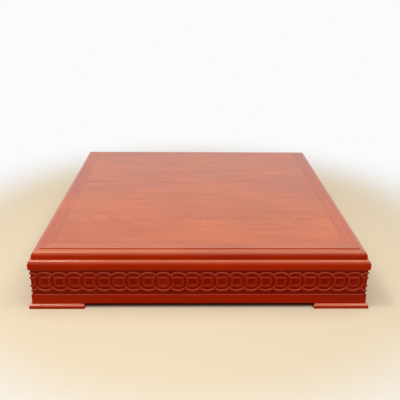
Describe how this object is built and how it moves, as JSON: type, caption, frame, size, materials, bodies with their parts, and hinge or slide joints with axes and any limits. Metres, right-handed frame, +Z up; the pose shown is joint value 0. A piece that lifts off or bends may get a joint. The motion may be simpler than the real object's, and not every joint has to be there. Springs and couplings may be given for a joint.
{
  "type": "altar stand",
  "caption": "Low square altar stand of red-stained hardwood: framed panel top over a cornice, a frieze carved with overlapping coins and a plinth, on corner feet.",
  "frame": {"origin": "on the floor, under the middle of the stand", "axes": "+Z up; the side with the pictured carving faces -Y; +X to the right as seen from there"},
  "size_m": [0.981, 0.981, 0.178],
  "materials": {
    "lacquered_frame": "red-brown stain under satin clear lacquer",
    "lacquered_panel": "red-brown stain under satin clear lacquer",
    "lacquered_carving": "carved, red-brown stain darker in the hollows, satin clear lacquer",
    "bare_wood": "planed, no finish"
  },
  "bodies": {
    "root": {"top_frame_front": "lacquered_frame", "cornice_front": "lacquered_frame", "plinth_front": "lacquered_frame", "frieze_front": "lacquered_carving", "top_frame_right": "lacquered_frame", "cornice_right": "lacquered_frame", "plinth_right": "lacquered_frame", "frieze_right": "lacquered_carving", "top_frame_back": "lacquered_frame", "cornice_back": "lacquered_frame", "plinth_back": "lacquered_frame", "frieze_back": "lacquered_carving", "top_frame_left": "lacquered_frame", "cornice_left": "lacquered_frame", "plinth_left": "lacquered_frame", "frieze_left": "lacquered_carving", "panel_board_1": "lacquered_panel", "panel_board_2": "lacquered_panel", "panel_board_3": "lacquered_panel", "panel_board_4": "lacquered_panel", "panel_board_5": "lacquered_panel", "foot_front_left_front_arm": "lacquered_frame", "foot_front_right_front_arm": "lacquered_frame", "foot_front_right_right_arm": "lacquered_frame", "foot_back_right_right_arm": "lacquered_frame", "foot_back_right_back_arm": "lacquered_frame", "foot_back_left_back_arm": "lacquered_frame", "foot_back_left_left_arm": "lacquered_frame", "foot_front_left_left_arm": "lacquered_frame", "corner_post_front_left": "bare_wood", "corner_post_front_right": "bare_wood", "corner_post_back_right": "bare_wood", "corner_post_back_left": "bare_wood", "panel_batten_1": "bare_wood", "panel_batten_2": "bare_wood", "panel_batten_3": "bare_wood", "cornice_mitre_splines": "bare_wood", "plinth_mitre_splines": "bare_wood", "glue_blocks": "bare_wood"}
  },
  "joints": []
}
